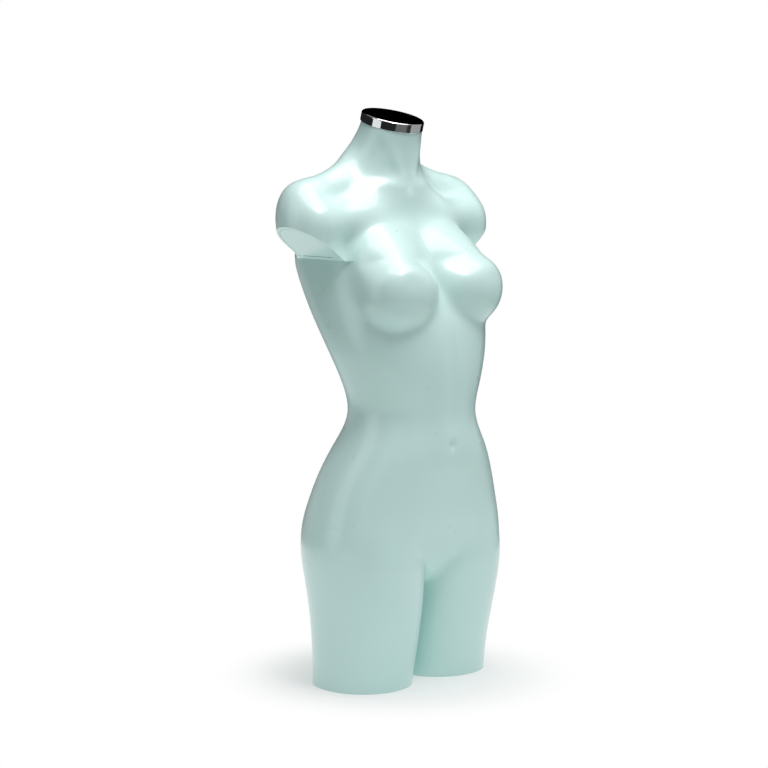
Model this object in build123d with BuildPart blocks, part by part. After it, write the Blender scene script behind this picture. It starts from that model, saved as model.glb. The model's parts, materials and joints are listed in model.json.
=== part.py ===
from build123d import *
import os
import numpy as np

os.makedirs("parts", exist_ok=True)

# ---------------------------------------------------------------- driving sizes, millimetres
# Front is -Y, the figure's own left is +X, the cut thighs stand on z = 0.
WALL = 3.5                    # moulded shell
GLUE = 0.25                   # bond line round every inset plate and board
CROTCH = 148.0                # underside of the torso between the thighs
SPLIT_LEG = 154.0             # where the two thighs run into the trunk
TENON = 4.0                   # the thigh walls reach this far up inside the trunk wall
TENON_STEP = 0.8
ARMPIT = 620.5                # the arms start here
PIT_X = 126.0                 # armpit line, from the middle
CUT_ANGLE = 35.0              # rise of the arm cut, outwards
PLATE = 4.0                   # arm plates
BOARD = 12.0                  # thigh boards

NECK_TILT = 15.5              # the neck leans forward
CAP_SEAT = (0.0, 14.4, 812.2)  # middle of the neck's cut top
CAP_RADIUS = 46.5
CAP_HEIGHT = 14.0             # chromed cover, rim to top
CAP_SHEET = 1.2
CAP_LIFT = 0.3                # shadow gap under the rim
CAP_ROUND = 2.4

NECK_BLOCK = 38.0             # depth of the plug in the neck
BUSH_RADIUS = 9.0
BUSH_FLANGE = 17.0
BUSH_FLANGE_THICK = 2.5
PEG_RADIUS = 6.0
PEG_FIT = 0.05                # running fit of the peg, on the radius
PEG_LENGTH = 36.0
SCREW_CIRCLE = 13.0

STAND_BORE = 12.8             # takes a 25 mm pole
STAND_TUBE = 15.0
STAND_TUBE_TOP = 150.0
STAND_FLANGE = 42.0
STAND_FLANGE_THICK = 3.0
STAND_SCREW_CIRCLE = 33.0
STAND_AXIS = (76.9, -4.0)     # in the left thigh

TAPE = 1.5                    # resin tape behind the joints

# height, centre y, half width, depth to the front, depth to the back, squareness front and back
TRUNK = [
    (106, -4, 118, 40, 88, 2.3, 2.2),
    (156, -7, 150, 62, 99, 2.3, 2.2),
    (201, -6.3, 166.4, 90.5, 100.3, 2.4, 2.2),
    (246, -8.2, 163.1, 97.2, 100.2, 2.4, 2.2),
    (296, -12.6, 149.3, 96, 96.9, 2.3, 2.2),
    (346, -20.9, 124, 92.3, 88.9, 2.2, 2.2),
    (391, -26.9, 102.4, 83.1, 77.8, 2.1, 2.2),
    (436, -27.2, 109.8, 85.4, 79.8, 2.15, 2.2),
    (486, -18.4, 124.7, 93.4, 86.8, 2.3, 2.4),
    (531, -3.7, 132.2, 99, 94.9, 2.45, 2.6),
    (586, 14, 130, 92, 99, 2.5, 3.5),
    (618, 24, 126, 86, 98, 2.5, 4.0),
    (651, 32, 121, 76, 89, 2.4, 3.4),
    (681, 38, 114, 68, 76, 2.3, 2.5),
    (704, 39, 98, 66, 66, 2.2, 2.3),
    (724, 37, 77, 62, 58, 2.1, 2.1),
    (743, 32, 61, 52, 54, 2.0, 2.0),
    (762, 28, 53, 49, 53, 2.0, 2.0),
    (781, 24.5, 49.5, 48.5, 50.5, 2.0, 2.0),
    (798, 19.5, 47, 48, 49, 2.0, 2.0),
    (813, 14.2, 45.2, 46.8, 46.8, 2.0, 2.0),
    (852, 3.5, 45, 46.8, 46.8, 2.0, 2.0),
]
# height, centre x, centre y, half width, depth to the front, depth to the back
THIGH = [
    (-14, 76.9, -4, 70, 68.2, 74.9),
    (52, 74.6, -5, 71.9, 79.1, 79),
    (116, 76.6, -6, 75.7, 91.4, 83.4),
    (186, 80.8, -6, 81.3, 96.4, 86.1),
    (236, 81.8, -6, 74.3, 87.4, 82.5),
    (296, 84, -6, 50, 60, 60),
]


# ---------------------------------------------------------------- the figure as one smooth field
def spline(z, table, column):
    """Natural cubic spline through one column of a table."""
    x = np.array([row[0] for row in table], float)
    v = np.array([row[column] for row in table], float)
    h = np.diff(x)
    a = np.eye(len(x))
    r = np.zeros(len(x))
    for i in range(1, len(x) - 1):
        a[i, i - 1:i + 2] = h[i - 1], 2 * (h[i - 1] + h[i]), h[i]
        r[i] = 6 * ((v[i + 1] - v[i]) / h[i] - (v[i] - v[i - 1]) / h[i - 1])
    m = np.linalg.solve(a, r)
    z = np.clip(z, x[0], x[-1])
    i = np.clip(np.searchsorted(x, z) - 1, 0, len(x) - 2)
    s, t, w = z - x[i], x[i + 1] - z, h[i]
    bend = (m[i] * t**3 + m[i + 1] * s**3) / (6 * w)
    return bend + (v[i] / w - m[i] * w / 6) * t + (v[i + 1] / w - m[i + 1] * w / 6) * s


def join(a, b, k):
    """Union with the inside corner filled over a width k."""
    h = np.clip(k - np.abs(a - b), 0, None) / k
    return np.minimum(a, b) - h**3 * k / 6


def trim(a, b, k):
    """Intersection with the outside corner rounded over a width k."""
    return -join(-a, -b, k)


def ease(t):
    """Smooth step from 0 to 1."""
    t = np.clip(t, 0, 1)
    return t * t * (3 - 2 * t)


def bump(d, width):
    return np.exp(-((d / width) ** 2))


def oval(x, v, a, front, back, n_front, n_back):
    """Distance along the ray from a squared oval with its own front and back."""
    b = np.where(v < 0, front, back)
    n = np.where(v < 0, n_front, n_back)
    f = ((np.abs(x) / a) ** n + (np.abs(v) / b) ** n) ** (1 / n)
    return np.hypot(x, v) * (1 - 1 / np.maximum(f, 1e-3))


def ellipsoid(p, centre, radii):
    q = (p - np.array(centre, float)) / np.array(radii, float)
    k = np.sqrt((q**2).sum(-1))
    g = np.sqrt(((q / np.array(radii, float)) ** 2).sum(-1))
    return k * (k - 1) / np.maximum(g, 1e-9)


def rod(p, a, b, radius_a, radius_b):
    """Round-ended rod, and how far along it the nearest point lies."""
    a, b = np.array(a, float), np.array(b, float)
    d = b - a
    t = np.clip(((p - a) @ d) / (d @ d), 0, 1)
    off = np.linalg.norm(p - a - t[..., None] * d, axis=-1)
    return off - (radius_a + (radius_b - radius_a) * t), t


def trunk(p):
    x, y, z = p[..., 0], p[..., 1], p[..., 2]
    c = [spline(z, TRUNK, i) for i in range(1, 7)]
    return oval(x, y - c[0], *c[1:])


def thigh(p):
    x, y, z = p[..., 0], p[..., 1], p[..., 2]
    c = [spline(z, THIGH, i) for i in range(1, 6)]
    return oval(x - c[0], y - c[1], *c[2:], 2.1 + 0 * z, 2.1 + 0 * z)


def breast(p):
    root, tip = np.array([72.0, -58.0, 576.0]), np.array([85.0, -117.0, 590.0])
    axis = tip - root
    height = np.linalg.norm(axis)
    axis = axis / height
    side = np.cross(axis, [0, 0, 1.0])
    side /= np.linalg.norm(side)
    q = p - root
    h, l, u = q @ axis, q @ side, q @ np.cross(side, axis)
    s = (l / np.where(l > 0, 64.0, 52.0)) ** 2 + (u / np.where(u > 0, 78.0, 55.0)) ** 2
    s = np.sqrt(s + 0.012) - 0.06
    n = 2.0 - 0.85 * ease(u / 45)
    g = np.abs(h) / np.where(h > 0, height, 60.0)
    g = (np.sqrt(g * g + 0.015) - 0.1224) / 0.885
    return ((s**n + g**n) ** (1 / n) - 1) * 60.0


def stump(p):
    """Upper arm and the round of the shoulder."""
    x, y, z = p[..., 0], p[..., 1], p[..., 2]
    low = 669.0
    dx = (x - 151) / 45.0
    dy = (y - 32 - 0.19 * (z - low)) / 45.0
    dz = np.clip(z - low, 0, None) / 64.0
    return (np.sqrt(dx**2 + dy**2 + dz**2) - 1) * 46.0


def figure(p, arms=True):
    """Field of the whole skin, negative inside; the arms still whole."""
    q = np.array(p, float)
    q[..., 0] = np.abs(q[..., 0])
    x, y, z = q[..., 0], q[..., 1], q[..., 2]
    groin = CROTCH + 62 * np.tanh(x / 68) - 100 * ease((x - 80) / 70)
    low = trim(trunk(q), (groin - z) * 0.75, 22)
    low = join(low, ellipsoid(q, (0, -36, 199), (50, 52, 49)), 16)
    low = join(low, ellipsoid(q, (62, 26, 212), (74, 78, 90)), 36)
    low = join(low, trim(thigh(q), z - 286, 60), 18)
    d = join(low, breast(q), 24 + 44 * ease((z - 566) / 75))
    if arms:
        bar = rod(q, (60, 39, 717), (150, 41, 702), 22, 22)[0]
        nape = rod(q, (48, 44, 745), (125, 41, 713), 19, 25)[0]
        pec = rod(q, (74, 8, 674), (150, 13, 672), 29, 32)[0]
        arm = join(join(join(stump(q), bar, 24), nape, 24), pec, 26)
        d = join(d, arm, 28 + 26 * ease((z - 651) / 50) + 34 * ease((y - 24) / 60))
    front = ease((-y - 26) / 40)
    back = ease((y - 14) / 40)
    d = d + front * 4.5 * bump(x, 5.5) * bump(z - 353, 7.5)
    d = d + front * 1.8 * bump(x, 11) * ease((z - 358) / 30) * ease((546 - z) / 60)
    d = d + front * 1.0 * bump(x - 50, 14) * ease((z - 316) / 60) * ease((506 - z) / 80)
    fold, along = rod(np.stack([x, z], -1), (3, 149), (84, 232), 0, 0)
    d = d + front * 1.2 * bump(fold, 8) * ease((1 - along) / 0.75)
    d = d + back * 8 * bump(x, 12) * ease((306 - z) / 100) * ease((z - 106) / 30)
    d = d + back * 3.5 * bump(x, 15) * ease((z - 266) / 50) * ease((686 - z) / 90)
    d = d - back * 3.5 * bump(x - 68, 34) * bump(z - 641, 44)
    collar, along = rod(q, (10, -25, 726), (128, 0, 734), 0, 0)
    d = d - 1.4 * bump(collar, 9) * ease(along / 0.15) * ease((1 - along) / 0.5)
    cord, along = rod(q, (9, -25, 728), (44, 6, 836), 0, 0)
    d = d - 2.2 * bump(cord, 9) * ease((1 - along) / 0.5)
    notch = np.linalg.norm(q - np.array([0, -25, 727.0]), axis=-1)
    return d + 3.0 * bump(notch, 11)


# ---------------------------------------------------------------- sections
# height and y of the joint between the front and the back half
PARTING = [(-20, -6), (200, -6), (296, -12), (346, -20), (391, -26), (436, -26.5), (486, -18), (531, -4),
           (586, 14), (618, 24), (660, 31), (704, 38), (740, 42), (760, 41), (781, 33), (798, 24), (813, 17),
           (852, 5)]
LEG_LEVELS = [0, 20, 40, 60, 80, 100, 120, 138, 150]
TRUNK_LEVELS = [154, 160, 167, 175, 184, 193, 202, 212, 223, 235, 248, 262, 277, 292, 307, 322, 337, 352, 365,
                376, 385, 393, 401, 412, 425, 440, 455, 470, 485, 500, 512, 522, 532, 543, 554, 565, 577, 590,
                604, ARMPIT]
ARM_LEVELS = [ARMPIT + 0.3, ARMPIT + WALL, ARMPIT + WALL + 0.3, 626, 629, 633, 644, 656, 667, 678, 688, 698, 707, 715, 722, 728, 733, 738, 742, 746,
              750, 754, 758, 763, 769, 776, 784, 794, 806, 820, 836]


def parting(z):
    return float(np.interp(z, *zip(*PARTING)))


def torso(p):
    return figure(p, arms=False)


def left_leg(p):
    return trim(figure(p, arms=False), 1.5 - p[..., 0], 12)


def reach(field, start, ray, inset):
    """Distance along each ray to the skin drawn in by an inset."""
    near, far = np.zeros(ray.shape[:-1]), np.full(ray.shape[:-1], 240.0)
    inset = np.broadcast_to(inset, near.shape)
    for _ in range(24):
        mid = (near + far) / 2
        p = start + mid[..., None] * ray
        steps = [field(p + e) - field(p - e) for e in np.eye(3) * 0.5]
        slope = np.maximum(np.linalg.norm(np.stack(steps, -1), axis=-1), 0.2)
        inside = field(p) / slope + inset < 0
        near, far = np.where(inside, mid, near), np.where(inside, far, mid)
    return near


def level_points(field, levels, centre_x, angles, inset):
    """One row of points per level, as (x, y), from rays about the parting line."""
    start = np.array([[centre_x(z), parting(z), z] for z in levels], float)[:, None, :]
    ray = np.stack([np.cos(angles), np.sin(angles), 0 * angles], -1)[None] + 0 * start
    inset = np.array(inset, float)[:, None] if np.ndim(inset) else inset
    rows = start + reach(field, start, ray, inset)[..., None] * ray
    return [[(float(x), float(y)) for x, y, _ in row] for row in rows]


def curve(points):
    """Spline through evenly marked points, so that neighbouring sections share their knots."""
    return Edge.make_spline(points, parameters=[i / (len(points) - 1) for i in range(len(points))])


def loop(points):
    return Edge.make_spline(points, periodic=True, parameters=[i / len(points) for i in range(len(points) + 1)])


def wall(levels, outside, inside, ruled=True):
    """Loft of open wall sections, each between an outer and an inner row of points."""
    with BuildPart() as piece:
        for z, a, b in zip(levels, outside, inside):
            with BuildSketch(Plane.XY.offset(z)):
                with BuildLine():
                    add(curve(a))
                    Line(a[-1], b[-1])
                    add(curve(b[::-1]))
                    Line(b[0], a[0])
                make_face()
        loft(ruled=ruled)
    return piece


def middle(z):
    return 0.0


def leg_middle(z):
    return float(spline(z, THIGH, 1))


# ---------------------------------------------------------------- moulded shell, front and back halves
fan = np.linspace(-1, 1, 41)
sweep = np.sign(fan) * (1 - (1 - np.abs(fan)) ** 1.35) * np.pi / 2
turns = {"front": sweep - np.pi / 2, "back": sweep + np.pi / 2}
seat = Plane(origin=CAP_SEAT, x_dir=(1, 0, 0),
             z_dir=(0, -np.sin(np.radians(NECK_TILT)), np.cos(np.radians(NECK_TILT))))

def cut_height(x):
    """Height of the arm cut at a distance x from the middle."""
    return ARMPIT + (x - PIT_X) * float(np.tan(np.radians(CUT_ANGLE)))


def half_shell(side):
    """Front or back half of the moulding: trunk and shoulders, two thighs, and the bridge between them."""
    angles = turns[side]
    low = level_points(torso, TRUNK_LEVELS + ARM_LEVELS[:2], middle, angles, WALL)
    inside = low + level_points(figure, ARM_LEVELS[2:], middle, angles, WALL)
    outside = level_points(torso, TRUNK_LEVELS, middle, angles, 0)
    outside += level_points(figure, ARM_LEVELS, middle, angles, 0)
    trunk_wall = wall(TRUNK_LEVELS + ARM_LEVELS, outside, inside)

    levels = LEG_LEVELS + [SPLIT_LEG + TENON]
    half_turn = np.pi / 2 * np.linspace(-1, 1, 29) + (-np.pi / 2 if side == "front" else np.pi / 2)
    skins = [0] * len(LEG_LEVELS) + [TENON_STEP]
    linings = [WALL] * len(LEG_LEVELS) + [WALL - TENON_STEP]
    leg_wall = wall(levels, level_points(left_leg, levels, leg_middle, half_turn, skins),
                    level_points(left_leg, levels, leg_middle, half_turn, linings))
    bridge = (-62.5, -6) if side == "front" else (-6, 32)

    with BuildPart() as piece:
        add(trunk_wall)
        with BuildSketch(Plane.XZ):
            for out in (-450, 450):
                Polygon((np.sign(out) * PIT_X, ARMPIT), (out, cut_height(450)), (out, ARMPIT - 5), align=None)
        extrude(amount=200, both=True, mode=Mode.SUBTRACT)
        with BuildSketch(seat):
            Circle(90)
        extrude(amount=60, mode=Mode.SUBTRACT)
        add(leg_wall)
        mirror(leg_wall.part, about=Plane.YZ)
        with BuildSketch(Plane.XY.offset(SPLIT_LEG)):
            with Locations((0, sum(bridge) / 2)):
                Rectangle(24, bridge[1] - bridge[0])
        extrude(amount=WALL)
    return piece


front_shell = half_shell("front")
front_shell.part.label = "front_shell"
export_step(front_shell.part, "parts/front_shell.step")

back_shell = half_shell("back")
back_shell.part.label = "back_shell"
export_step(back_shell.part, "parts/back_shell.step")


# ---------------------------------------------------------------- resin tapes behind the joints
TAPE_LEG_LEVELS = [20, 40, 60, 80, 100, 120, 138, 150]


def strip(field, levels, centre_x, angles):
    """A band of tape on the inside of the wall, half on each side of the joint."""
    return wall(levels, level_points(field, levels, centre_x, angles, WALL + GLUE),
                level_points(field, levels, centre_x, angles, WALL + GLUE + TAPE))


side_strip = strip(torso, TAPE_LEG_LEVELS + TRUNK_LEVELS[:-1], middle, np.linspace(-0.12, 0.12, 7))
leg_strip = strip(left_leg, TAPE_LEG_LEVELS, leg_middle, np.linspace(-0.2, 0.2, 7) + np.pi)

with BuildPart() as left_seam_tape:
    add(side_strip)
left_seam_tape.part.label = "left_seam_tape"
export_step(left_seam_tape.part, "parts/left_seam_tape.step")

with BuildPart() as right_seam_tape:
    mirror(side_strip.part, about=Plane.YZ)
right_seam_tape.part.label = "right_seam_tape"
export_step(right_seam_tape.part, "parts/right_seam_tape.step")

with BuildPart() as left_inner_tape:
    add(leg_strip)
left_inner_tape.part.label = "left_inner_tape"
export_step(left_inner_tape.part, "parts/left_inner_tape.step")

with BuildPart() as right_inner_tape:
    mirror(leg_strip.part, about=Plane.YZ)
right_inner_tape.part.label = "right_inner_tape"
export_step(right_inner_tape.part, "parts/right_inner_tape.step")


# ---------------------------------------------------------------- inset plates, boards and the neck plug
def plane_points(plane, field, count, inset):
    """Closed row of points, in the plane's own x and y, where rays from its origin meet the inset skin."""
    start = np.array(tuple(plane.origin))
    angles = np.linspace(0, 2 * np.pi, count + 1)[:-1]
    x, y = np.array(tuple(plane.x_dir)), np.array(tuple(plane.y_dir))
    ray = np.cos(angles)[:, None] * x + np.sin(angles)[:, None] * y
    r = reach(field, start, ray, inset)
    return [(float(a * np.cos(t)), float(a * np.sin(t))) for a, t in zip(r, angles)]


def arm_hole(p):
    return trim(figure(p), ARMPIT + 0.3 - p[..., 2], 6)


cut_normal = (np.sin(np.radians(CUT_ANGLE)), 0, -np.cos(np.radians(CUT_ANGLE)))
plate_plane = Plane(origin=(150, 38, cut_height(150)), x_dir=(0, 1, 0), z_dir=cut_normal)

with BuildPart() as left_arm_plate:
    for depth in (0, -PLATE):
        with BuildSketch(plate_plane.offset(depth)):
            with BuildLine():
                add(loop(plane_points(plate_plane.offset(depth), arm_hole, 48, WALL + 4 * GLUE)))
            make_face()
    loft()
left_arm_plate.part.label = "left_arm_plate"
export_step(left_arm_plate.part, "parts/left_arm_plate.step")

with BuildPart() as right_arm_plate:
    mirror(left_arm_plate.part, about=Plane.YZ)
right_arm_plate.part.label = "right_arm_plate"
export_step(right_arm_plate.part, "parts/right_arm_plate.step")

with BuildPart() as plain_board:
    for z in (0, BOARD / 2, BOARD):
        board_plane = Plane(origin=(STAND_AXIS[0], STAND_AXIS[1], z))
        with BuildSketch(board_plane):
            with BuildLine():
                add(loop(plane_points(board_plane, left_leg, 48, WALL + GLUE)))
            make_face()
    loft()

with BuildPart() as left_thigh_board:
    add(plain_board)
    with BuildSketch(Plane(origin=(STAND_AXIS[0], STAND_AXIS[1], 0))):
        Circle(STAND_BORE)
        with PolarLocations(STAND_SCREW_CIRCLE, 4, 45):
            Circle(2.3)
    extrude(amount=BOARD, mode=Mode.SUBTRACT)
left_thigh_board.part.label = "left_thigh_board"
export_step(left_thigh_board.part, "parts/left_thigh_board.step")

with BuildPart() as right_thigh_board:
    mirror(plain_board.part, about=Plane.YZ)
right_thigh_board.part.label = "right_thigh_board"
export_step(right_thigh_board.part, "parts/right_thigh_board.step")

with BuildPart() as neck_block:
    for depth in (0, -NECK_BLOCK / 2, -NECK_BLOCK):
        block_plane = seat.offset(depth)
        with BuildSketch(block_plane):
            with BuildLine():
                add(loop(plane_points(block_plane, figure, 48, WALL + 2 * GLUE)))
            make_face()
    loft()
    with BuildSketch(seat):
        Circle(BUSH_RADIUS + 0.02)
    extrude(amount=-NECK_BLOCK, mode=Mode.SUBTRACT)
    with BuildSketch(seat):
        Circle(BUSH_FLANGE + 0.2)
    extrude(amount=-BUSH_FLANGE_THICK, mode=Mode.SUBTRACT)
    with BuildSketch(seat):
        with PolarLocations(SCREW_CIRCLE, 3, 90):
            Circle(1.55)
    extrude(amount=-16, mode=Mode.SUBTRACT)
neck_block.part.label = "neck_block"
export_step(neck_block.part, "parts/neck_block.step")

# ---------------------------------------------------------------- bush in the neck
with BuildPart() as neck_bush:
    with BuildSketch(seat):
        Circle(BUSH_FLANGE)
    extrude(amount=-BUSH_FLANGE_THICK)
    with BuildSketch(seat):
        Circle(BUSH_RADIUS)
    extrude(amount=-NECK_BLOCK)
    with BuildSketch(seat):
        Circle(PEG_RADIUS + PEG_FIT)
    extrude(amount=-NECK_BLOCK, mode=Mode.SUBTRACT)
    with Locations(seat):
        with PolarLocations(SCREW_CIRCLE, 3, 90):
            CounterSinkHole(radius=1.6, counter_sink_radius=3.1, depth=BUSH_FLANGE_THICK + 1, mode=Mode.SUBTRACT)
neck_bush.part.label = "neck_bush"
export_step(neck_bush.part, "parts/neck_bush.step")

with BuildPart() as neck_bush_screws:
    for spot in PolarLocations(SCREW_CIRCLE, 3, 90).locations:
        top = Plane(seat.location * spot)
        with BuildSketch(top):
            Circle(3.0)
        extrude(amount=-1.4, taper=45)
        with BuildSketch(top.offset(-0.7)):
            Circle(1.5)
        extrude(amount=-14)
        with BuildSketch(top):
            Rectangle(4.4, 0.8)
        extrude(amount=-0.6, mode=Mode.SUBTRACT)
neck_bush_screws.part.label = "neck_bush_screws"
export_step(neck_bush_screws.part, "parts/neck_bush_screws.step")

# ---------------------------------------------------------------- lift-out chromed cap
with BuildPart() as neck_cap:
    with BuildSketch(seat.offset(CAP_LIFT)):
        Circle(CAP_RADIUS)
    extrude(amount=CAP_HEIGHT - CAP_LIFT)
    top_edge = neck_cap.faces().filter_by(GeomType.PLANE).sort_by(Axis((0, 0, 0), tuple(seat.z_dir)))[-1].edges()
    fillet(top_edge, CAP_ROUND)
    with BuildSketch(seat.offset(CAP_LIFT)):
        Circle(CAP_RADIUS - CAP_SHEET)
    extrude(amount=CAP_HEIGHT - CAP_LIFT - CAP_SHEET, mode=Mode.SUBTRACT)
neck_cap.part.label = "neck_cap"
export_step(neck_cap.part, "parts/neck_cap.step")

DISC_THICK = CAP_HEIGHT - CAP_LIFT - CAP_SHEET - 0.1
with BuildPart() as cap_disc:
    with BuildSketch(seat.offset(CAP_LIFT)):
        Circle(CAP_RADIUS - CAP_SHEET - 0.15)
    extrude(amount=DISC_THICK)
    rim = cap_disc.faces().filter_by(GeomType.PLANE).sort_by(Axis((0, 0, 0), tuple(seat.z_dir)))[-1].edges()
    chamfer(rim, 1.6)
    with BuildSketch(seat.offset(CAP_LIFT)):
        Circle(10.2)
    extrude(amount=1.6, mode=Mode.SUBTRACT)
    with BuildSketch(seat.offset(CAP_LIFT)):
        Circle(4.1)
    extrude(amount=DISC_THICK, mode=Mode.SUBTRACT)
    with BuildSketch(seat.offset(CAP_LIFT + DISC_THICK)):
        Circle(11.5)
    extrude(amount=-8.6, mode=Mode.SUBTRACT)
cap_disc.part.label = "cap_disc"
export_step(cap_disc.part, "parts/cap_disc.step")

NUT_SEAT = CAP_LIFT + DISC_THICK - 8.6
with BuildPart() as cap_peg:
    with BuildSketch(seat.offset(CAP_LIFT)):
        Circle(10)
    extrude(amount=1.5)
    with BuildSketch(seat.offset(CAP_LIFT)):
        Circle(PEG_RADIUS)
    extrude(amount=-PEG_LENGTH)
    tip = cap_peg.faces().filter_by(GeomType.PLANE).sort_by(Axis((0, 0, 0), tuple(seat.z_dir)))[0].edges()
    chamfer(tip, 1.5)
    with BuildSketch(seat.offset(CAP_LIFT + 1.5)):
        Circle(4)
    extrude(amount=NUT_SEAT + 1.6 + 6.5 + 0.4 - CAP_LIFT - 1.5)
cap_peg.part.label = "cap_peg"
export_step(cap_peg.part, "parts/cap_peg.step")

with BuildPart() as cap_peg_washer:
    with BuildSketch(seat.offset(NUT_SEAT)):
        Circle(10)
        Circle(4.2, mode=Mode.SUBTRACT)
    extrude(amount=1.6)
cap_peg_washer.part.label = "cap_peg_washer"
export_step(cap_peg_washer.part, "parts/cap_peg_washer.step")

with BuildPart() as cap_peg_nut:
    with BuildSketch(seat.offset(NUT_SEAT + 1.6)):
        RegularPolygon(6.5, 6, major_radius=False)
        Circle(4.05, mode=Mode.SUBTRACT)
    extrude(amount=6.5)
cap_peg_nut.part.label = "cap_peg_nut"
export_step(cap_peg_nut.part, "parts/cap_peg_nut.step")

# ---------------------------------------------------------------- socket for a display stand, left thigh
socket_plane = Plane(origin=(STAND_AXIS[0], STAND_AXIS[1], BOARD))
with BuildPart() as stand_flange:
    with BuildSketch(socket_plane):
        Circle(STAND_FLANGE)
        Circle(STAND_TUBE + 0.05, mode=Mode.SUBTRACT)
        with PolarLocations(STAND_SCREW_CIRCLE, 4, 45):
            Circle(2.4, mode=Mode.SUBTRACT)
    extrude(amount=STAND_FLANGE_THICK)
stand_flange.part.label = "stand_flange"
export_step(stand_flange.part, "parts/stand_flange.step")

with BuildPart() as stand_socket_tube:
    with BuildSketch(socket_plane):
        Circle(STAND_TUBE)
        Circle(STAND_BORE, mode=Mode.SUBTRACT)
    extrude(amount=STAND_TUBE_TOP - BOARD)
stand_socket_tube.part.label = "stand_socket_tube"
export_step(stand_socket_tube.part, "parts/stand_socket_tube.step")

with BuildPart() as stand_flange_screws:
    with BuildSketch(socket_plane.offset(STAND_FLANGE_THICK)):
        with PolarLocations(STAND_SCREW_CIRCLE, 4, 45):
            Circle(4.2)
    extrude(amount=2.6)
    heads = stand_flange_screws.faces().filter_by(Plane.XY).group_by(Axis.Z)[-1].edges()
    fillet(heads, 1.2)
    with BuildSketch(socket_plane.offset(STAND_FLANGE_THICK)):
        with PolarLocations(STAND_SCREW_CIRCLE, 4, 45):
            Circle(2.2)
    extrude(amount=-13)
    with BuildSketch(socket_plane.offset(STAND_FLANGE_THICK + 2.6)):
        with PolarLocations(STAND_SCREW_CIRCLE, 4, 45):
            RegularPolygon(1.5, 6)
    extrude(amount=-1.4, mode=Mode.SUBTRACT)
stand_flange_screws.part.label = "stand_flange_screws"
export_step(stand_flange_screws.part, "parts/stand_flange_screws.step")
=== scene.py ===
"""Looks of the mannequin torso form: moulded skin, chromed cap, materials, light and camera."""

import json
import math

import bmesh
import bpy
import numpy as np
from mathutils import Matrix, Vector
from mathutils.geometry import delaunay_2d_cdt

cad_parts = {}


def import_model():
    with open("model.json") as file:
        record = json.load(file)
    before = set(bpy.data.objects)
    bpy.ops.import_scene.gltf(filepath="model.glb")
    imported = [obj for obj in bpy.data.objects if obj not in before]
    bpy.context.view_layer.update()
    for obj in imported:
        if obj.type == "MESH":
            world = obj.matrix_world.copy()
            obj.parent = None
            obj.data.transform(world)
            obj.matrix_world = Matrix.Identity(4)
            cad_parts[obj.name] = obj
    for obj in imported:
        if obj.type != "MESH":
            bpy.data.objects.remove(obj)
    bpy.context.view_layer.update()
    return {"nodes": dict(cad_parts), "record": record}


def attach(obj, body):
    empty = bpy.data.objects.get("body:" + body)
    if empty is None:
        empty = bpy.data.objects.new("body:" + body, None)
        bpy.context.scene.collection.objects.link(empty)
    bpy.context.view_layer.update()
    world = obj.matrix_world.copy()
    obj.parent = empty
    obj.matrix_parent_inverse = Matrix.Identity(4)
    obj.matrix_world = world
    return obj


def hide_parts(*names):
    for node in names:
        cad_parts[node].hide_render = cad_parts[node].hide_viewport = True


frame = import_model()

# ---------------------------------------------------------------- the form's own sizes, millimetres
# Front is -Y, the figure's own left is +X, the cut thighs stand on z = 0.
MM = 0.001
STEP = 4.0                    # spacing of the skin's mesh
COARSE = 4                    # steps between the points of the first, rough look for the surface
NEAR_SURFACE = 7 * STEP       # the field is worked out exactly within this distance
EVENING_ROUNDS = 2            # how often the mesh is evened out
NEWTON_STEPS = 3              # how often it is then drawn on to the surface
LARGEST_MOVE = 3.0            # of one such step
HOLE_GAP = 0.5                # between the hole for an arm plate and the shell's inside
PLATE_MIDDLE_X = 150.0        # point inside the arm cut, from which its hole is measured
PLATE_MIDDLE_Y = 38.0
WALL = 3.5                    # moulded shell
CROTCH = 148.0
ARMPIT = 620.5                # the arms start here
PIT_X = 126.0                 # armpit line, from the middle
CUT_ANGLE = 35.0              # rise of the arm cut, outwards
NECK_TILT = 15.5              # the neck leans forward
CAP_SEAT = (0.0, 14.4, 812.2)  # middle of the neck's cut top
CAP_RADIUS = 46.5
CAP_HEIGHT = 14.0             # chromed cover, seat to top
CAP_SHEET = 1.2
CAP_LIFT = 0.3
CAP_ROUND = 2.4
CAP_LAP = 0.5                 # the cover's inside wall starts this far above its foot

SEAT_UP = np.array([0, -math.sin(math.radians(NECK_TILT)), math.cos(math.radians(NECK_TILT))])
SEAT_BACK = np.array([0, math.cos(math.radians(NECK_TILT)), math.sin(math.radians(NECK_TILT))])
CUT_SLOPE = math.tan(math.radians(CUT_ANGLE))
CUT_NORMAL = np.array([math.sin(math.radians(CUT_ANGLE)), 0, -math.cos(math.radians(CUT_ANGLE))])

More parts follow.
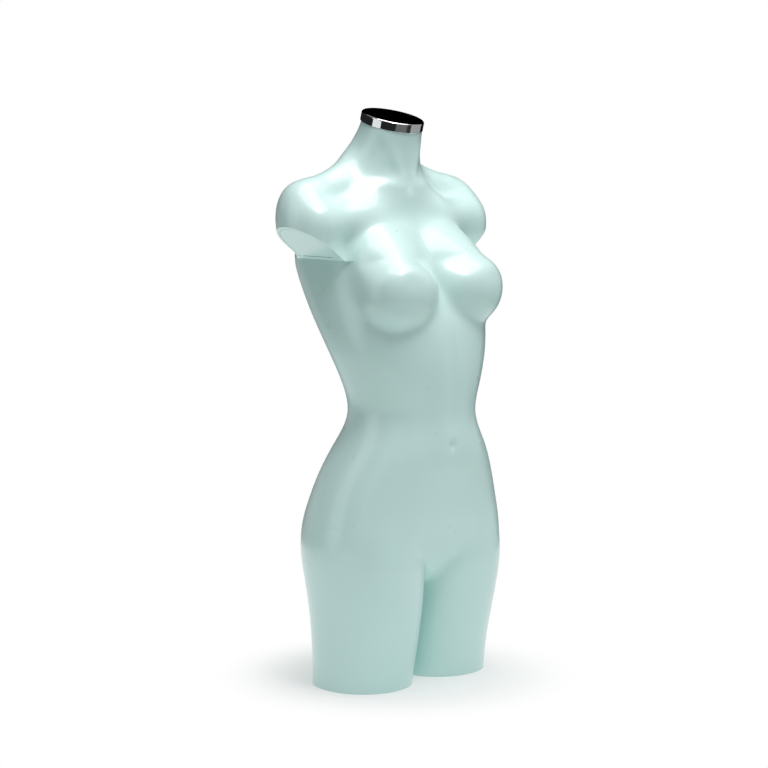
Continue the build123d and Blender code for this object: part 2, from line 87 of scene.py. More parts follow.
# height, centre y, half width, depth to the front, depth to the back, squareness front and back
TRUNK = [
    (106, -4, 118, 40, 88, 2.3, 2.2),
    (156, -7, 150, 62, 99, 2.3, 2.2),
    (201, -6.3, 166.4, 90.5, 100.3, 2.4, 2.2),
    (246, -8.2, 163.1, 97.2, 100.2, 2.4, 2.2),
    (296, -12.6, 149.3, 96, 96.9, 2.3, 2.2),
    (346, -20.9, 124, 92.3, 88.9, 2.2, 2.2),
    (391, -26.9, 102.4, 83.1, 77.8, 2.1, 2.2),
    (436, -27.2, 109.8, 85.4, 79.8, 2.15, 2.2),
    (486, -18.4, 124.7, 93.4, 86.8, 2.3, 2.4),
    (531, -3.7, 132.2, 99, 94.9, 2.45, 2.6),
    (586, 14, 130, 92, 99, 2.5, 3.5),
    (618, 24, 126, 86, 98, 2.5, 4.0),
    (651, 32, 121, 76, 89, 2.4, 3.4),
    (681, 38, 114, 68, 76, 2.3, 2.5),
    (704, 39, 98, 66, 66, 2.2, 2.3),
    (724, 37, 77, 62, 58, 2.1, 2.1),
    (743, 32, 61, 52, 54, 2.0, 2.0),
    (762, 28, 53, 49, 53, 2.0, 2.0),
    (781, 24.5, 49.5, 48.5, 50.5, 2.0, 2.0),
    (798, 19.5, 47, 48, 49, 2.0, 2.0),
    (813, 14.2, 45.2, 46.8, 46.8, 2.0, 2.0),
    (852, 3.5, 45, 46.8, 46.8, 2.0, 2.0),
]
# height, centre x, centre y, half width, depth to the front, depth to the back
THIGH = [
    (-14, 76.9, -4, 70, 68.2, 74.9),
    (52, 74.6, -5, 71.9, 79.1, 79),
    (116, 76.6, -6, 75.7, 91.4, 83.4),
    (186, 80.8, -6, 81.3, 96.4, 86.1),
    (236, 81.8, -6, 74.3, 87.4, 82.5),
    (296, 84, -6, 50, 60, 60),
]


# ---------------------------------------------------------------- the figure as one smooth field
def spline(z, table, column):
    """Natural cubic spline through one column of a table."""
    x = np.array([row[0] for row in table], float)
    v = np.array([row[column] for row in table], float)
    h = np.diff(x)
    a = np.eye(len(x))
    r = np.zeros(len(x))
    for i in range(1, len(x) - 1):
        a[i, i - 1:i + 2] = h[i - 1], 2 * (h[i - 1] + h[i]), h[i]
        r[i] = 6 * ((v[i + 1] - v[i]) / h[i] - (v[i] - v[i - 1]) / h[i - 1])
    m = np.linalg.solve(a, r)
    z = np.clip(z, x[0], x[-1])
    i = np.clip(np.searchsorted(x, z) - 1, 0, len(x) - 2)
    s, t, w = z - x[i], x[i + 1] - z, h[i]
    bend = (m[i] * t**3 + m[i + 1] * s**3) / (6 * w)
    return bend + (v[i] / w - m[i] * w / 6) * t + (v[i + 1] / w - m[i + 1] * w / 6) * s


def join(a, b, k):
    """Union with the inside corner filled over a width k."""
    h = np.clip(k - np.abs(a - b), 0, None) / k
    return np.minimum(a, b) - h**3 * k / 6


def trim(a, b, k):
    """Intersection with the outside corner rounded over a width k."""
    return -join(-a, -b, k)


def ease(t):
    """Smooth step from 0 to 1."""
    t = np.clip(t, 0, 1)
    return t * t * (3 - 2 * t)


def bump(d, width):
    """Bell curve, 1 in the middle."""
    return np.exp(-((d / width) ** 2))


def oval(x, v, a, front, back, n_front, n_back):
    """Distance along the ray from a squared oval with its own front and back."""
    b = np.where(v < 0, front, back)
    n = np.where(v < 0, n_front, n_back)
    f = ((np.abs(x) / a) ** n + (np.abs(v) / b) ** n) ** (1 / n)
    return np.hypot(x, v) * (1 - 1 / np.maximum(f, 1e-3))


def ellipsoid(p, centre, radii):
    """About the distance from an ellipsoid."""
    q = (p - np.array(centre, float)) / np.array(radii, float)
    k = np.sqrt((q**2).sum(-1))
    g = np.sqrt(((q / np.array(radii, float)) ** 2).sum(-1))
    return k * (k - 1) / np.maximum(g, 1e-9)


def rod(p, a, b, radius_a, radius_b):
    """Round-ended rod, and how far along it the nearest point lies."""
    a, b = np.array(a, float), np.array(b, float)
    d = b - a
    t = np.clip(((p - a) @ d) / (d @ d), 0, 1)
    off = np.linalg.norm(p - a - t[..., None] * d, axis=-1)
    return off - (radius_a + (radius_b - radius_a) * t), t


def trunk(p):
    """Body and neck, without arms or thighs."""
    x, y, z = p[..., 0], p[..., 1], p[..., 2]
    c = [spline(z, TRUNK, i) for i in range(1, 7)]
    return oval(x, y - c[0], *c[1:])


def thigh(p):
    """The left thigh."""
    x, y, z = p[..., 0], p[..., 1], p[..., 2]
    c = [spline(z, THIGH, i) for i in range(1, 6)]
    return oval(x - c[0], y - c[1], *c[2:], 2.1 + 0 * z, 2.1 + 0 * z)


def breast(p):
    """The left breast: a squared half ellipsoid on a tilted axis, fuller below than above."""
    root, tip = np.array([72.0, -58.0, 576.0]), np.array([85.0, -117.0, 590.0])
    axis = tip - root
    height = np.linalg.norm(axis)
    axis = axis / height
    side = np.cross(axis, [0, 0, 1.0])
    side /= np.linalg.norm(side)
    q = p - root
    h, l, u = q @ axis, q @ side, q @ np.cross(side, axis)
    s = (l / np.where(l > 0, 64.0, 52.0)) ** 2 + (u / np.where(u > 0, 78.0, 55.0)) ** 2
    s = np.sqrt(s + 0.012) - 0.06
    n = 2.0 - 0.85 * ease(u / 45)
    g = np.abs(h) / np.where(h > 0, height, 60.0)
    g = (np.sqrt(g * g + 0.015) - 0.1224) / 0.885
    return ((s**n + g**n) ** (1 / n) - 1) * 60.0


def stump(p):
    """Upper arm and the round of the shoulder."""
    x, y, z = p[..., 0], p[..., 1], p[..., 2]
    low = 669.0
    dx = (x - 151) / 45.0
    dy = (y - 32 - 0.19 * (z - low)) / 45.0
    dz = np.clip(z - low, 0, None) / 64.0
    return (np.sqrt(dx**2 + dy**2 + dz**2) - 1) * 46.0


def figure(p, arms=True):
    """Field of the whole skin, negative inside; the arms still whole."""
    q = np.array(p, float)
    q[..., 0] = np.abs(q[..., 0])
    x, y, z = q[..., 0], q[..., 1], q[..., 2]
    groin = CROTCH + 62 * np.tanh(x / 68) - 100 * ease((x - 80) / 70)
    low = trim(trunk(q), (groin - z) * 0.75, 22)
    low = join(low, ellipsoid(q, (0, -36, 199), (50, 52, 49)), 16)
    low = join(low, ellipsoid(q, (62, 26, 212), (74, 78, 90)), 36)
    low = join(low, trim(thigh(q), z - 286, 60), 18)
    d = join(low, breast(q), 24 + 44 * ease((z - 566) / 75))
    if arms:
        bar = rod(q, (60, 39, 717), (150, 41, 702), 22, 22)[0]
        nape = rod(q, (48, 44, 745), (125, 41, 713), 19, 25)[0]
        pec = rod(q, (74, 8, 674), (150, 13, 672), 29, 32)[0]
        arm = join(join(join(stump(q), bar, 24), nape, 24), pec, 26)
        d = join(d, arm, 28 + 26 * ease((z - 651) / 50) + 34 * ease((y - 24) / 60))
    front = ease((-y - 26) / 40)
    back = ease((y - 14) / 40)
    d = d + front * 4.5 * bump(x, 5.5) * bump(z - 353, 7.5)
    d = d + front * 1.8 * bump(x, 11) * ease((z - 358) / 30) * ease((546 - z) / 60)
    d = d + front * 1.0 * bump(x - 50, 14) * ease((z - 316) / 60) * ease((506 - z) / 80)
    fold, along = rod(np.stack([x, z], -1), (3, 149), (84, 232), 0, 0)
    d = d + front * 1.2 * bump(fold, 8) * ease((1 - along) / 0.75)
    d = d + back * 8 * bump(x, 12) * ease((306 - z) / 100) * ease((z - 106) / 30)
    d = d + back * 3.5 * bump(x, 15) * ease((z - 266) / 50) * ease((686 - z) / 90)
    d = d - back * 3.5 * bump(x - 68, 34) * bump(z - 641, 44)
    collar, along = rod(q, (10, -25, 726), (128, 0, 734), 0, 0)
    d = d - 1.4 * bump(collar, 9) * ease(along / 0.15) * ease((1 - along) / 0.5)
    cord, along = rod(q, (9, -25, 728), (44, 6, 836), 0, 0)
    d = d - 2.2 * bump(cord, 9) * ease((1 - along) / 0.5)
    notch = np.linalg.norm(q - np.array([0, -25, 727.0]), axis=-1)
    return d + 3.0 * bump(notch, 11)


# ---------------------------------------------------------------- mesh of the skin
def torso(p):
    """The figure with its arms left off."""
    return figure(p, arms=False)


def left_leg(p):
    """The figure's own left side, which is its left thigh below the crotch."""
    return trim(torso(p), 1.5 - p[..., 0], 12)


def slope(field, p):
    """Gradient of the field."""
    return np.stack([field(p + e) - field(p - e) for e in np.eye(3) * 0.25], -1) * 2


def unit(v):
    """Vectors brought to length 1."""
    return v / np.maximum(np.linalg.norm(v, axis=-1, keepdims=True), 1e-9)


def sample(field, axes):
    """Field on a grid: exact near the surface, and elsewhere the value of the nearest coarse point."""
    coarse = [a[0] + COARSE * STEP * np.arange(len(a) // COARSE + 2) for a in axes]
    rough = field(np.stack(np.meshgrid(*coarse, indexing="ij"), -1))
    nearest = np.ix_(*[np.round(np.arange(len(a)) / COARSE).astype(int) for a in axes])
    values = rough[nearest]
    close = np.argwhere(np.abs(values) < NEAR_SURFACE)
    points = np.stack([a[i] for a, i in zip(axes, close.T)], -1)
    values[tuple(close.T)] = field(points)
    return values


def nets(values, axes):
    """Surface nets: one vertex in each cell that the surface crosses, one quad round each crossed edge."""
    cells = tuple(n - 1 for n in values.shape)
    total, count = np.zeros((np.prod(cells), 3)), np.zeros(np.prod(cells))
    quads = []
    for axis in range(3):
        near = values[tuple(slice(0, -1) if d == axis else slice(None) for d in range(3))]
        far = values[tuple(slice(1, None) if d == axis else slice(None) for d in range(3))]
        crossed = (near < 0) != (far < 0)
        corner = np.argwhere(crossed)
        where = corner.astype(float)
        where[:, axis] += near[crossed] / (near[crossed] - far[crossed])
        u, v = [d for d in range(3) if d != axis]
        ring = []
        for du, dv in ((0, 0), (-1, 0), (-1, -1), (0, -1)):
            cell = corner.copy()
            cell[:, u] += du
            cell[:, v] += dv
            inside = ((cell >= 0) & (cell < cells)).all(1)
            number = np.ravel_multi_index(np.clip(cell, 0, np.array(cells) - 1).T, cells)
            np.add.at(total, number[inside], where[inside])
            np.add.at(count, number[inside], 1)
            ring.append(np.where(inside, number, -1))
        ring = np.stack(ring, 1)
        flip = (near[crossed] < 0) if axis == 1 else (near[crossed] >= 0)
        ring[flip] = ring[flip][:, ::-1]
        quads.append(ring[(ring >= 0).all(1)])
    quads = np.concatenate(quads)
    used = np.unique(quads)
    index = np.zeros(len(count), int)
    index[used] = np.arange(len(used))
    start = np.array([a[0] for a in axes])
    return start + STEP * total[used] / count[used][:, None], index[quads]


def evened(verts, quads):
    """Each vertex moved halfway to the middle of its neighbours."""
    total = np.zeros_like(verts)
    count = np.zeros((len(verts), 1))
    for i in range(4):
        for j in (i - 1, (i + 1) % 4):
            np.add.at(total, quads[:, i], verts[quads[:, j]])
            np.add.at(count, quads[:, i], 1)
    return (verts + total / count) / 2


def skin(field, low, high):
    """Quad mesh of the field's surface, evened out and then drawn on to the surface."""
    axes = [STEP * np.arange(math.floor(a / STEP), math.ceil(b / STEP) + 1) for a, b in zip(low, high)]
    verts, quads = nets(sample(field, axes), axes)
    for _ in range(EVENING_ROUNDS):
        verts = evened(verts, quads)
    for _ in range(NEWTON_STEPS):
        g = slope(field, verts)
        move = field(verts) / np.maximum((g**2).sum(-1), 1e-6)
        verts = verts - np.clip(move, -LARGEST_MOVE, LARGEST_MOVE)[:, None] * g
    bm = bmesh.new()
    for v in verts:
        bm.verts.new(v)
    bm.verts.ensure_lookup_table()
    for q in quads:
        bm.faces.new([bm.verts[i] for i in q])
    return bm


def cut_away(bm, point, normal):
    """Cuts off what lies on the side that the normal points to."""
    bmesh.ops.bisect_plane(bm, geom=bm.verts[:] + bm.edges[:] + bm.faces[:], dist=1e-3,
                           plane_co=Vector(point), plane_no=Vector(normal), clear_outer=True)


def rim(bm, test):
    """Points, in order, of the open edge loop that passes the test."""
    after = {}
    for e in bm.edges:
        if e.is_boundary:
            a, b = e.verts
            after.setdefault(a, []).append(b)
            after.setdefault(b, []).append(a)
    while after:
        start = next(iter(after))
        chain, last, here = [start], None, start
        while True:
            following = [v for v in after[here] if v is not last]
            last, here = here, following[0]
            if here is start:
                break
            chain.append(here)
        for v in chain:
            del after[v]
        points = np.array([tuple(v.co) for v in chain])
        if test(points):
            return points
    raise ValueError("no such loop")


def arrays(bm):
    """The mesh as an array of points and a list of faces."""
    bm.verts.index_update()
    return np.array([tuple(v.co) for v in bm.verts]), [[v.index for v in f.verts] for f in bm.faces]


# ---------------------------------------------------------------- shells, from the skin
# height and y of the joint between the front and the back half
PARTING = [(-20, -6), (200, -6), (296, -12), (346, -20), (391, -26), (436, -26.5), (486, -18),
           (531, -4), (586, 14), (618, 24), (660, 31), (704, 38), (740, 42), (760, 41), (781, 33),
           (798, 24), (813, 17), (852, 5)]


def parting(z):
    """The y of the joint at a height."""
    heights, ys = zip(*PARTING)
    return np.interp(z, heights, ys)


def in_polygon(points, polygon):
    """Which points lie inside a closed polygon, by counting crossed edges."""
    x, y = points[:, 0, None], points[:, 1, None]
    ax, ay = polygon[:, 0], polygon[:, 1]
    bx, by = np.roll(ax, -1), np.roll(ay, -1)
    spans = (ay > y) != (by > y)
    cross = ax + (y - ay) / np.where(by == ay, 1, by - ay) * (bx - ax)
    return (spans & (x < cross)).sum(1) % 2 == 1


def flat(outline, holes, height, lines=()):
    """Flat mesh that faces down, inside an outline and outside its holes, drawn in plan and then lifted."""
    edges, points = [], []
    for loop in [outline, *holes]:
        first = len(points)
        edges += [(first + i, first + (i + 1) % len(loop)) for i in range(len(loop))]
        points += [Vector(p[:2]) for p in loop]
    for line in lines:
        edges.append((len(points), len(points) + 1))
        points += [Vector(p) for p in line]
    drawn = delaunay_2d_cdt(points, edges, [], 0, 1e-4)
    verts = np.array([tuple(v) for v in drawn[0]])
    tris = np.array(drawn[2])
    middle = verts[tris].mean(1)
    wanted = in_polygon(middle, outline)
    for hole in holes:
        wanted &= ~in_polygon(middle, hole)
    tris = tris[wanted]
    a, b, c = (verts[tris[:, i]] for i in range(3))
    area = (b - a)[:, 0] * (c - a)[:, 1] - (b - a)[:, 1] * (c - a)[:, 0]
    tris[area > 0] = tris[area > 0][:, ::-1]
    tris = tris[np.abs(area) > 1e-3]
    return np.column_stack([verts, height(verts[:, 0], verts[:, 1])]), tris


def inset_ring(field, centre, u, v, inset, count=96):
    """Points round a plane's centre where the skin, drawn in by an inset, crosses that plane."""
    angles = np.linspace(0, 2 * np.pi, count + 1)[:-1]
    ray = np.cos(angles)[:, None] * np.array(u) + np.sin(angles)[:, None] * np.array(v)
    near, far = np.zeros(count), np.full(count, 240.0)
    for _ in range(24):
        mid = (near + far) / 2
        p = np.array(centre) + mid[:, None] * ray
        inside = field(p) / np.maximum(np.linalg.norm(slope(field, p), axis=-1), 0.2) + inset < 0
        near, far = np.where(inside, mid, near), np.where(inside, far, mid)
    return np.array(centre) + near[:, None] * ray


def half(verts, faces, front):
    """The front or the back half of a mesh, parted along the sides."""
    bm = bmesh.new()
    sheared = verts - np.outer(parting(verts[:, 2]), (0, 1, 0))
    made = [bm.verts.new(v) for v in sheared]
    for f in faces:
        bm.faces.new([made[i] for i in f])
    cut_away(bm, (0, 0, 0), (0, 1 if front else -1, 0))
    for v in [v for v in bm.verts if not v.link_faces]:
        bm.verts.remove(v)
    verts, faces = arrays(bm)
    bm.free()
    return verts + np.outer(parting(verts[:, 2]), (0, 1, 0)), faces


def build(name, sheets, material, slot, body, *nodes):
    """One piece from several sheets of (points, faces, normals), which stands for its CAD nodes."""
    verts, faces, normals = [], [], []
    for v, f, n in sheets:
        first = sum(len(x) for x in verts)
        verts.append(np.asarray(v))
        normals.append(np.broadcast_to(n, np.shape(v)))
        faces += [[first + int(i) for i in face] for face in f]
    mesh = bpy.data.meshes.new(name)
    mesh.from_pydata((np.concatenate(verts) * MM).tolist(), [], faces)
    mesh.polygons.foreach_set("use_smooth", [True] * len(mesh.polygons))
    mesh.normals_split_custom_set_from_vertices(np.concatenate(normals).tolist())
    mesh.materials.append(material)
    piece = bpy.data.objects.new(name, mesh)
    bpy.context.scene.collection.objects.link(piece)
    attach(piece, body)
    if nodes:
        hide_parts(*nodes)
    return piece


def shell_sheets():
    """Every sheet of the moulding as (points, faces, function that gives the normals)."""
    lower = skin(torso, (-188, -150, -12), (188, 150, ARMPIT + 12))
    cut_away(lower, (0, 0, ARMPIT), (0, 0, 1))
    cut_away(lower, (0, 0, 0), (0, 0, -1))
    upper = skin(figure, (-208, -120, ARMPIT - 12), (208, 140, 850))
    cut_away(upper, (0, 0, ARMPIT), (0, 0, -1))
    cut_away(upper, (PIT_X, 0, ARMPIT), CUT_NORMAL)
    cut_away(upper, (-PIT_X, 0, ARMPIT), CUT_NORMAL * (-1, 1, 1))
    cut_away(upper, CAP_SEAT, SEAT_UP)
    waistline = rim(lower, lambda p: p[:, 2].min() > ARMPIT - 1)
    shoulders = rim(upper, lambda p: p[:, 2].min() < ARMPIT + 1)
    neckline = rim(upper, lambda p: p[:, 2].min() > ARMPIT + 100)
    foot = rim(lower, lambda p: p[:, 2].max() < 1 and p[:, 0].mean() > 0)

    def cut_height(x, y):
        return ARMPIT + np.maximum(np.abs(x) - PIT_X, 0) * CUT_SLOPE

    along_cut = (math.cos(math.radians(CUT_ANGLE)), 0, math.sin(math.radians(CUT_ANGLE)))
    middle = (PLATE_MIDDLE_X, PLATE_MIDDLE_Y, float(cut_height(PLATE_MIDDLE_X, 0)))
    plate = inset_ring(lambda p: trim(figure(p), ARMPIT + 0.3 - p[..., 2], 6), middle, (0, 1, 0), along_cut,
                       WALL + HOLE_GAP)
    far_y = 200  # past the skin, so that the lines at the armpits cross the whole flat
    verts, tris = flat(shoulders, [waistline, plate, plate[::-1] * (-1, 1, 1)], cut_height,
                       [((x, -far_y), (x, far_y)) for x in (-PIT_X, PIT_X)])
    at = verts[tris][:, :, 0].mean(1)
    sheets = [(verts, tris[np.abs(at) < PIT_X], lambda v: np.array([0, 0, -1.0])),
              (verts, tris[at > PIT_X], lambda v: CUT_NORMAL),
              (verts, tris[at < -PIT_X], lambda v: CUT_NORMAL * (-1, 1, 1))]

    lining = inset_ring(left_leg, foot.mean(0), (1, 0, 0), (0, 1, 0), WALL)
    verts, tris = flat(foot, [lining], lambda x, y: 0 * x)
    sheets.append((verts, tris, lambda v: np.array([0, 0, -1.0])))
    sheets.append((verts * (-1, 1, 1), tris[:, ::-1], lambda v: np.array([0, 0, -1.0])))

    lining = inset_ring(figure, CAP_SEAT, (1, 0, 0), SEAT_BACK, WALL)
    seat_slope = SEAT_BACK[2] / SEAT_BACK[1]
    verts, tris = flat(neckline, [lining], lambda x, y: CAP_SEAT[2] + (y - CAP_SEAT[1]) * seat_slope)
    sheets.append((verts, tris[:, ::-1], lambda v: SEAT_UP))

    sheets.append((*arrays(lower), lambda v: unit(slope(torso, v))))
    sheets.append((*arrays(upper), lambda v: unit(slope(figure, v))))
    return sheets


def lathe(profile, turns=192):
    """Sheets turned about the neck's axis, one per smooth run of (radius, height) points."""
    angles = np.linspace(0, 2 * np.pi, turns + 1)[:-1]
    out = np.cos(angles)[:, None] * np.array([1.0, 0, 0]) + np.sin(angles)[:, None] * SEAT_BACK
    sheets = []
    for run in profile:
        run = np.array(run, float)
        tangent = np.gradient(run, axis=0)
        across = unit(np.column_stack([tangent[:, 1], -tangent[:, 0]]))
        verts = CAP_SEAT + run[:, None, :1] * out + run[:, None, 1:] * SEAT_UP
        normals = across[:, None, :1] * out + across[:, None, 1:] * SEAT_UP
        rings = [(i * turns, (i + 1) * turns) for i in range(len(run) - 1)]
        steps = [(j, (j + 1) % turns) for j in range(turns)]
        faces = [(a + j, a + k, b + k, b + j) for a, b in rings for j, k in steps]
        sheets.append((verts.reshape(-1, 3), faces, normals.reshape(-1, 3)))
    return sheets


def arc(centre, radius, start, end, count=10):
    """Points of an arc in a lathe's profile, angles in degrees from the outward direction."""
    t = np.radians(np.linspace(start, end, count))
    return [(centre[0] + radius * math.cos(a), centre[1] + radius * math.sin(a)) for a in t]


# ---------------------------------------------------------------- materials
def material(name, color, roughness, **values):
    """A Principled material, with its other constants named as its sockets are."""
    made = bpy.data.materials.new(name)
    made.use_nodes = True
    tree = made.node_tree
    shader = tree.nodes["Principled BSDF"]
    shader.inputs["Base Color"].default_value = (*color, 1)
    shader.inputs["Roughness"].default_value = roughness
    for socket, value in values.items():
        shader.inputs[socket.replace("_", " ")].default_value = value
    return made


def noise(made, scale, detail=3.0, stretch=(1, 1, 1)):
    """Noise over the piece's own coordinates."""
    tree = made.node_tree
    place = tree.nodes.new("ShaderNodeTexCoord")
    mapping = tree.nodes.new("ShaderNodeMapping")
    mapping.inputs["Scale"].default_value = stretch
    texture = tree.nodes.new("ShaderNodeTexNoise")
    texture.inputs["Scale"].default_value = scale
    texture.inputs["Detail"].default_value = detail
    tree.links.new(place.outputs["Object"], mapping.inputs["Vector"])
    tree.links.new(mapping.outputs["Vector"], texture.inputs["Vector"])
    return texture.outputs["Fac"]


def spread(made, source, socket, low, high):
    """Varies a number of the shader with a noise, between two values."""
    tree = made.node_tree
    ramp = tree.nodes.new("ShaderNodeMapRange")
    ramp.inputs["From Min"].default_value = 0.3
    ramp.inputs["From Max"].default_value = 0.7
    ramp.inputs["To Min"].default_value = low
    ramp.inputs["To Max"].default_value = high
    tree.links.new(source, ramp.inputs["Value"])
    tree.links.new(ramp.outputs["Result"], tree.nodes["Principled BSDF"].inputs[socket])


def tint(made, source, one, two):
    """Varies the colour with a noise, between two colours."""
    tree = made.node_tree
    ramp = tree.nodes.new("ShaderNodeValToRGB")
    ramp.color_ramp.elements[0].position = 0.3
    ramp.color_ramp.elements[0].color = (*one, 1)
    ramp.color_ramp.elements[1].position = 0.7
    ramp.color_ramp.elements[1].color = (*two, 1)
    tree.links.new(source, ramp.inputs["Fac"])
    tree.links.new(ramp.outputs["Color"], tree.nodes["Principled BSDF"].inputs["Base Color"])


def relief(made, source, distance, strength):
    """Bump of a real height in metres."""
    tree = made.node_tree
    bump_node = tree.nodes.new("ShaderNodeBump")
    bump_node.inputs["Distance"].default_value = distance
    bump_node.inputs["Strength"].default_value = strength
    tree.links.new(source, bump_node.inputs["Height"])
    tree.links.new(bump_node.outputs["Normal"], tree.nodes["Principled BSDF"].inputs["Normal"])


def paint():
    """Gloss white shell, with a slight green cast."""
    made = material("shell_paint", (0.60, 0.86, 0.82), 0.3, Coat_Weight=0.35, Coat_Roughness=0.12)
    tint(made, noise(made, 9), (0.595, 0.865, 0.825), (0.61, 0.88, 0.84))
    spread(made, noise(made, 22, 4), "Roughness", 0.27, 0.36)
    relief(made, noise(made, 330, 2), 0.00004, 0.5)
    return made


def chrome():
    """Polished plating of the cap."""
    made = material("cap_chrome", (0.72, 0.75, 0.76), 0.05, Metallic=1.0)
    tint(made, noise(made, 60), (0.70, 0.73, 0.74), (0.76, 0.79, 0.80))
    spread(made, noise(made, 180, 6), "Roughness", 0.03, 0.09)
    relief(made, noise(made, 900, 2), 0.00001, 0.3)
    return made


def steel():
    """Brushed steel of the socket, the screws and the peg."""
    made = material("brushed_steel", (0.55, 0.56, 0.58), 0.32, Metallic=1.0)
    tint(made, noise(made, 40), (0.5, 0.51, 0.53), (0.62, 0.63, 0.65))
    spread(made, noise(made, 500, 4, (0.05, 1, 1)), "Roughness", 0.22, 0.42)
    relief(made, noise(made, 700, 3, (0.05, 1, 1)), 0.00003, 0.4)
    return made


def brass():
    """The bush in the neck."""
    made = material("bush_brass", (0.72, 0.5, 0.2), 0.28, Metallic=1.0)
    tint(made, noise(made, 50), (0.66, 0.45, 0.17), (0.78, 0.56, 0.25))
    spread(made, noise(made, 600, 4), "Roughness", 0.2, 0.38)
    relief(made, noise(made, 900, 3), 0.00002, 0.4)
    return made


def board():
    """Plywood."""
    made = material("plywood", (0.55, 0.38, 0.22), 0.55)
    tint(made, noise(made, 26, 6, (1, 9, 9)), (0.42, 0.27, 0.14), (0.66, 0.48, 0.30))
    spread(made, noise(made, 60, 4, (1, 9, 9)), "Roughness", 0.45, 0.65)
    relief(made, noise(made, 90, 6, (1, 9, 9)), 0.0003, 0.5)
    return made


def resin():
    """Glass-fibre tape set in resin."""
    made = material("resin_tape", (0.62, 0.55, 0.33), 0.35, Coat_Weight=0.2)
    tint(made, noise(made, 120, 5), (0.5, 0.43, 0.24), (0.72, 0.66, 0.45))
    spread(made, noise(made, 70, 4), "Roughness", 0.25, 0.5)
    relief(made, noise(made, 400, 5), 0.0002, 0.6)
    return made


# ---------------------------------------------------------------- the object
shell_paint, cap_chrome = paint(), chrome()
finish = {"shell": shell_paint, "chrome": cap_chrome, "steel": steel(), "brass": brass(), "board": board(),
          "resin": resin()}
for row in frame["record"]["subparts"]:
    node = frame["nodes"][row["node"]]
    node.data.materials.clear()
    node.data.materials.append(finish[row["material_slot"]])

sheets = shell_sheets()
for name, front in (("front_skin", True), ("back_skin", False)):
    parts = []
    for verts, faces, normals in sheets:
        v, f = half(verts, faces, front)
        if f:
            parts.append((v, f, normals(v)))
    build(name, parts, shell_paint, "shell", "torso", "front_shell" if front else "back_shell")

cap_inside = CAP_RADIUS - CAP_SHEET
foot_middle = (CAP_RADIUS - CAP_SHEET / 2, CAP_LIFT + CAP_SHEET / 2)
edge_middle = (CAP_RADIUS - CAP_ROUND, CAP_HEIGHT - CAP_ROUND)
cap_profile = [
    [(cap_inside, CAP_HEIGHT - CAP_SHEET), (cap_inside, CAP_LIFT + CAP_LAP)],
    arc(foot_middle, CAP_SHEET / 2, 180, 360),
    [(CAP_RADIUS, foot_middle[1]), (CAP_RADIUS, edge_middle[1])],
    arc(edge_middle, CAP_ROUND, 0, 90, 14),
    [(radius, CAP_HEIGHT) for radius in (edge_middle[0], CAP_RADIUS / 2, 1, 0.01)]]
build("cap_cover", lathe(cap_profile), cap_chrome, "chrome", "cap", "neck_cap")

# ---------------------------------------------------------------- studio
VIEW_RIGHT = Vector((1, -1, 0)).normalized()
VIEW_BACK = Vector((-1, -1, 0)).normalized()
CARD_RING = 1.6               # metres, as everything in the studio
LAMP_TINT = (1.0, 0.89, 0.91)
FLOOR_TINT = (0.45, 0.51, 0.50)
FLOOR_DROP = 0.0004           # keeps the floor just clear of the thigh bases
FLOOR_RADIUS = 1.2
SHADE_RADIUS = 0.11           # the floor takes the full shadow out to here
WHITE_RADIUS = 0.28           # and is plain white from here on
FLOOR_LIFT = 0.4
FILL = 0.27                   # brightness of the surroundings as a light
CAMERA_AT = (-2.475, -2.481, 0.846)
CAMERA_LENS = 112.44
CAMERA_PITCH = 4.89           # degrees downwards
CAMERA_YAW = 0.409            # degrees past the diagonal
CAMERA_SHIFT = -0.1
# name, from and to angle, from and to height, brightness
CARDS = [
    ("card_left", -74, -42, -0.01, 2.6, 1.0),
    ("card_left_dark", -150, -74, -0.01, 2.6, 0.02),
    ("card_back_dark", 134, 210, -0.01, 2.6, 0.0),
    ("card_front_dark", -42, 14, -0.01, 0.45, 0.02),
    ("card_front_grey", -42, 14, 0.45, 2.6, 0.02),
    ("card_strip", -8, 2, 0.4, 1.3, 1.4),
    ("card_right_grey", 14, 60, -0.01, 2.6, 0.15),
    ("card_right_dark", 60, 78, -0.01, 2.6, 0.04),
    ("card_right", 78, 134, -0.01, 2.6, 0.4),
]


def lamp(name, kind, right, back, up, aim, power):
    """A light placed from the camera's side of the form, in metres."""
    light = bpy.data.lights.new(name, kind)
    light.energy = power
    light.color = LAMP_TINT
    made = bpy.data.objects.new(name, light)
    made.location = VIEW_RIGHT * right + VIEW_BACK * back + Vector((0, 0, up))
    made.rotation_euler = (Vector(aim) - made.location).to_track_quat("-Z", "Y").to_euler()
    bpy.context.scene.collection.objects.link(made)
    return light


def softbox(name, right, back, up, aim, size, power):
    """A broad even light."""
    light = lamp(name, "AREA", right, back, up, aim, power)
    light.shape = "RECTANGLE"
    light.size, light.size_y = size


def soft_spot(name, right, back, up, aim, angle, radius, power):
    """A round pool of light with a soft edge."""
    light = lamp(name, "SPOT", right, back, up, aim, power)
    light.spot_size = math.radians(angle)
    light.spot_blend = 1.0
    light.shadow_soft_size = radius


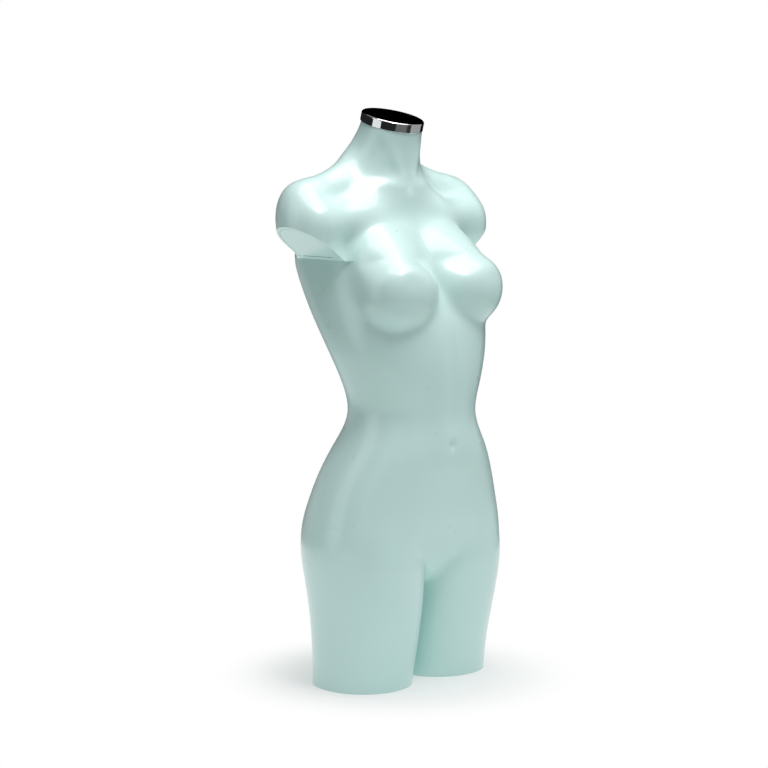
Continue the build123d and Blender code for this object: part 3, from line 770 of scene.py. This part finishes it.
def card(name, start, end, low, high, brightness):
    """Curved card on a ring round the form, which only reflections show.

    Angles run from the camera's side of the form to its right.
    """
    angles = [math.radians(start + (end - start) * i / 12) for i in range(13)]
    foot = [(VIEW_BACK * math.cos(a) + VIEW_RIGHT * math.sin(a)) * CARD_RING for a in angles]
    mesh = bpy.data.meshes.new(name)
    mesh.from_pydata([(p.x, p.y, z) for p in foot for z in (low, high)], [],
                     [(2 * i, 2 * i + 1, 2 * i + 3, 2 * i + 2) for i in range(12)])
    made = bpy.data.objects.new(name, mesh)
    bpy.context.scene.collection.objects.link(made)
    glow = bpy.data.materials.new(name)
    glow.use_nodes = True
    glow.node_tree.nodes.clear()
    shine = glow.node_tree.nodes.new("ShaderNodeEmission")
    shine.inputs["Strength"].default_value = brightness
    out = glow.node_tree.nodes.new("ShaderNodeOutputMaterial")
    glow.node_tree.links.new(shine.outputs["Emission"], out.inputs["Surface"])
    mesh.materials.append(glow)
    made.visible_camera = made.visible_diffuse = made.visible_shadow = made.visible_transmission = False


def floor():
    """Round white floor: it takes the form's shadow near by, and is even white further off."""
    turns = [2 * math.pi * i / 96 for i in range(96)]
    mesh = bpy.data.meshes.new("floor")
    edge = [(FLOOR_RADIUS * math.cos(a), FLOOR_RADIUS * math.sin(a), 0) for a in turns]
    mesh.from_pydata(edge, [], [range(96)])
    made = bpy.data.objects.new("floor", mesh)
    made.location.z = -FLOOR_DROP
    bpy.context.scene.collection.objects.link(made)
    white = bpy.data.materials.new("floor_white")
    white.use_nodes = True
    tree = white.node_tree
    near = tree.nodes["Principled BSDF"]
    near.inputs["Base Color"].default_value = (*FLOOR_TINT, 1)
    near.inputs["Roughness"].default_value = 0.9
    near.inputs["Emission Color"].default_value = (1, 1, 1, 1)
    near.inputs["Emission Strength"].default_value = FLOOR_LIFT
    far = tree.nodes.new("ShaderNodeEmission")
    place = tree.nodes.new("ShaderNodeTexCoord")
    length = tree.nodes.new("ShaderNodeVectorMath")
    length.operation = "LENGTH"
    ramp = tree.nodes.new("ShaderNodeMapRange")
    ramp.interpolation_type = "SMOOTHSTEP"
    ramp.inputs["From Min"].default_value = SHADE_RADIUS
    ramp.inputs["From Max"].default_value = WHITE_RADIUS
    mix = tree.nodes.new("ShaderNodeMixShader")
    tree.links.new(place.outputs["Object"], length.inputs[0])
    tree.links.new(length.outputs["Value"], ramp.inputs["Value"])
    tree.links.new(ramp.outputs["Result"], mix.inputs["Fac"])
    tree.links.new(near.outputs["BSDF"], mix.inputs[1])
    tree.links.new(far.outputs["Emission"], mix.inputs[2])
    tree.links.new(mix.outputs["Shader"], tree.nodes["Material Output"].inputs["Surface"])
    mesh.materials.append(white)


def world():
    """White where the camera sees it, dimmer as a light."""
    made = bpy.data.worlds.new("studio")
    bpy.context.scene.world = made
    made.use_nodes = True
    tree = made.node_tree
    shown = tree.nodes["Background"]
    shown.inputs["Color"].default_value = (1, 1, 1, 1)
    fill = tree.nodes.new("ShaderNodeBackground")
    fill.inputs["Color"].default_value = (1, 1, 1, 1)
    fill.inputs["Strength"].default_value = FILL
    path = tree.nodes.new("ShaderNodeLightPath")
    mix = tree.nodes.new("ShaderNodeMixShader")
    tree.links.new(path.outputs["Is Camera Ray"], mix.inputs["Fac"])
    tree.links.new(fill.outputs["Background"], mix.inputs[1])
    tree.links.new(shown.outputs["Background"], mix.inputs[2])
    tree.links.new(mix.outputs["Shader"], tree.nodes["World Output"].inputs["Surface"])


def camera():
    """The view from the figure's own front right, just above the height of its neck."""
    data = bpy.data.cameras.new("camera")
    data.sensor_width = 36
    data.lens = CAMERA_LENS
    data.shift_y = CAMERA_SHIFT
    made = bpy.data.objects.new("camera", data)
    made.location = CAMERA_AT
    made.rotation_euler = (math.radians(90 - CAMERA_PITCH), 0, math.radians(-45 + CAMERA_YAW))
    bpy.context.scene.collection.objects.link(made)
    bpy.context.scene.camera = made


floor()
world()
softbox("key_above", 0.5, 0.3, 3.0, (0, 0, 0.5), (2.4, 2.4), 68)
softbox("low_left", -1.3, -1.6, 0.35, (0, 0, 0.6), (1.6, 0.6), 9)
soft_spot("chest_light", 0.38, 0.66, 2.1, (0, -0.03, 0.74), 34, 0.25, 36)
for row in CARDS:
    card(*row)
camera()
bpy.context.scene.view_settings.view_transform = "Standard"
